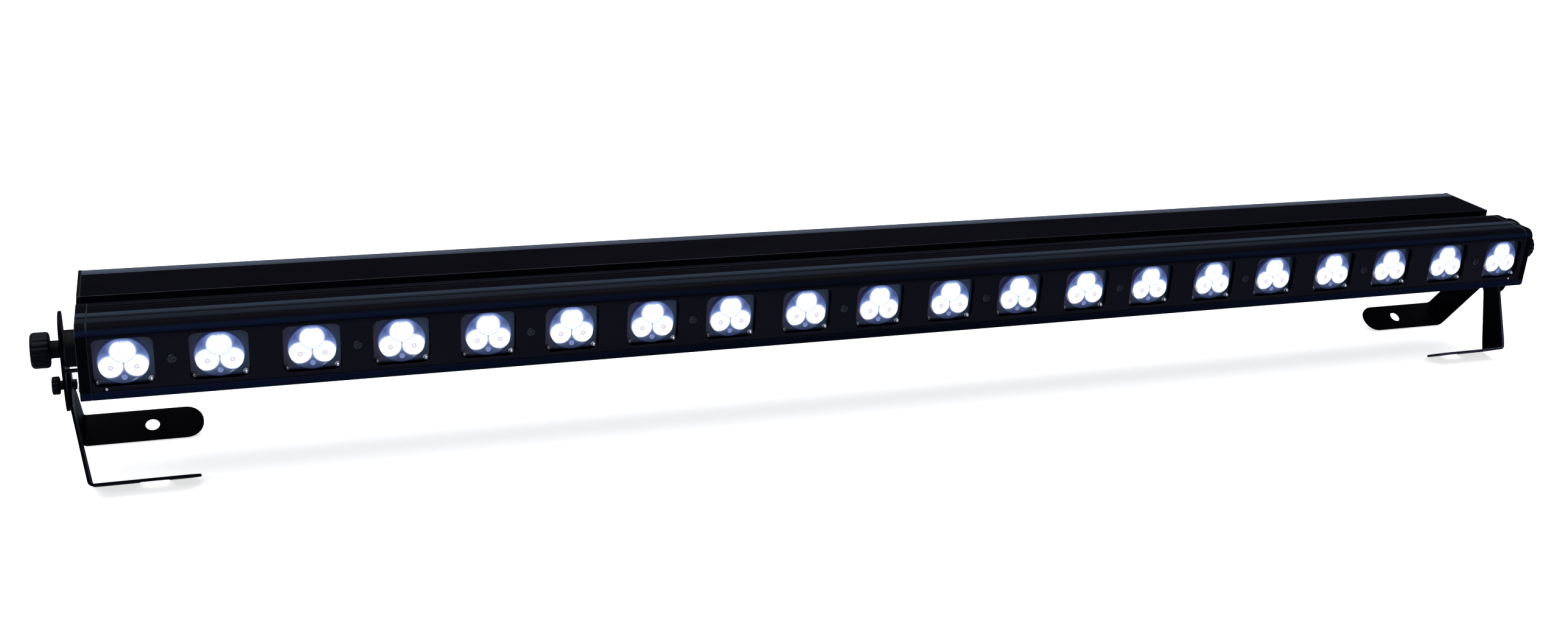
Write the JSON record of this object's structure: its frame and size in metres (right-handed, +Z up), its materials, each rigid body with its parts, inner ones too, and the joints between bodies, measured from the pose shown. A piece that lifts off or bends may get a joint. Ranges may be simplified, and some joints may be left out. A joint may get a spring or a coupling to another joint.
{
  "type": "led strip batten",
  "caption": "Long LED light bar of three-lens cells in a black two-part housing, on folding scissor brackets with tilt knobs.",
  "frame": {"origin": "at floor height, under the middle of the outer box: halfway along the batten, halfway from its front lip to its rear socket faces", "axes": "+X along the batten to its right end seen from the front, +Y from the lens side to the socket side, +Z up"},
  "size_m": [1.0454, 0.098, 0.1062],
  "materials": {
    "anodised_black": "black anodised extrusion, satin",
    "painted_black": "black powder coat, fine texture",
    "bracket_black": "black paint on pressed steel sheet",
    "moulded_black": "moulded black nylon",
    "lens_acrylic": "clear moulded acrylic, lit cold white",
    "window_acrylic": "smoked acrylic",
    "steel": "blackened steel",
    "aluminium": "plain aluminium",
    "board_black": "black solder mask",
    "board_green": "green solder mask",
    "button_grey": "moulded silicone rubber"
  },
  "bodies": {
    "housing": {"front_housing": "anodised_black", "front_bezel": "anodised_black", "rear_cover": "anodised_black", "joining_rail": "anodised_black", "rear_box": "painted_black", "rear_end_plate_left": "painted_black", "rear_end_plate_right": "painted_black", "front_end_cap_left": "moulded_black", "front_end_cap_right": "moulded_black", "pivot_spacer_left": "moulded_black", "pivot_spacer_right": "moulded_black", "pivot_stud_left": "steel", "pivot_stud_right": "steel", "stop_pin_left": "steel", "stop_pin_right": "steel", "power_inlet": "moulded_black", "power_outlet": "moulded_black", "data_in": "moulded_black", "data_out": "moulded_black", "display_window": "window_acrylic", "lens_module_01": "lens_acrylic", "lens_module_02": "lens_acrylic", "lens_module_03": "lens_acrylic", "lens_module_04": "lens_acrylic", "lens_module_05": "lens_acrylic", "lens_module_06": "lens_acrylic", "lens_module_07": "lens_acrylic", "lens_module_08": "lens_acrylic", "lens_module_09": "lens_acrylic", "lens_module_10": "lens_acrylic", "lens_module_11": "lens_acrylic", "lens_module_12": "lens_acrylic", "lens_module_13": "lens_acrylic", "lens_module_14": "lens_acrylic", "lens_module_15": "lens_acrylic", "lens_module_16": "lens_acrylic", "lens_module_17": "lens_acrylic", "lens_module_18": "lens_acrylic", "lens_module_19": "lens_acrylic", "lens_module_20": "lens_acrylic", "heat_spreader": "aluminium", "power_supply": "aluminium", "led_board_left": "board_black", "led_board_right": "board_black", "driver_board": "board_green", "control_board": "board_green"},
    "left_bracket": {"main_bracket_left": "bracket_black"},
    "right_bracket": {"main_bracket_right": "bracket_black"},
    "left_front_leg": {"front_leg_left": "bracket_black", "lock_nut_left": "steel"},
    "right_front_leg": {"front_leg_right": "bracket_black", "lock_nut_right": "steel"},
    "left_tilt_knob": {"tilt_knob_left": "moulded_black"},
    "right_tilt_knob": {"tilt_knob_right": "moulded_black"},
    "left_lock_screw": {"lock_screw_left": "moulded_black"},
    "right_lock_screw": {"lock_screw_right": "moulded_black"},
    "button_1": {"menu_button_1": "button_grey"},
    "button_2": {"menu_button_2": "button_grey"},
    "button_3": {"menu_button_3": "button_grey"},
    "button_4": {"menu_button_4": "button_grey"}
  },
  "joints": [
    {"name": "left_tilt", "type": "hinge", "parent": "housing", "child": "left_bracket", "pos_m": [-0.507, -0.0204, 0.0836], "axis": [1, 0, 0], "range_deg": [-85, 85]},
    {"name": "left_leg_fold", "type": "hinge", "parent": "left_bracket", "child": "left_front_leg", "pos_m": [-0.505, -0.0094, 0.0571], "axis": [1, 0, 0], "range_deg": [-10, 60]},
    {"name": "left_tilt_knob_turn", "type": "hinge", "parent": "housing", "child": "left_tilt_knob", "pos_m": [-0.515, -0.0204, 0.0836], "axis": [1, 0, 0], "continuous": true},
    {"name": "left_lock_screw_turn", "type": "hinge", "parent": "left_bracket", "child": "left_lock_screw", "pos_m": [-0.511, -0.0094, 0.0571], "axis": [1, 0, 0], "continuous": true},
    {"name": "right_tilt", "type": "hinge", "parent": "housing", "child": "right_bracket", "pos_m": [0.507, -0.0204, 0.0836], "axis": [1, 0, 0], "range_deg": [-85, 85]},
    {"name": "right_leg_fold", "type": "hinge", "parent": "right_bracket", "child": "right_front_leg", "pos_m": [0.505, -0.0094, 0.0571], "axis": [1, 0, 0], "range_deg": [-10, 60]},
    {"name": "right_tilt_knob_turn", "type": "hinge", "parent": "housing", "child": "right_tilt_knob", "pos_m": [0.515, -0.0204, 0.0836], "axis": [1, 0, 0], "continuous": true},
    {"name": "right_lock_screw_turn", "type": "hinge", "parent": "right_bracket", "child": "right_lock_screw", "pos_m": [0.511, -0.0094, 0.0571], "axis": [1, 0, 0], "continuous": true},
    {"name": "button_1_press", "type": "slide", "parent": "housing", "child": "button_1", "axis": [0, -1, 0], "range_m": [0, 0.001], "stiffness_N_per_m": 400, "springref_m": -0.001},
    {"name": "button_2_press", "type": "slide", "parent": "housing", "child": "button_2", "axis": [0, -1, 0], "range_m": [0, 0.001], "stiffness_N_per_m": 400, "springref_m": -0.001},
    {"name": "button_3_press", "type": "slide", "parent": "housing", "child": "button_3", "axis": [0, -1, 0], "range_m": [0, 0.001], "stiffness_N_per_m": 400, "springref_m": -0.001},
    {"name": "button_4_press", "type": "slide", "parent": "housing", "child": "button_4", "axis": [0, -1, 0], "range_m": [0, 0.001], "stiffness_N_per_m": 400, "springref_m": -0.001}
  ]
}
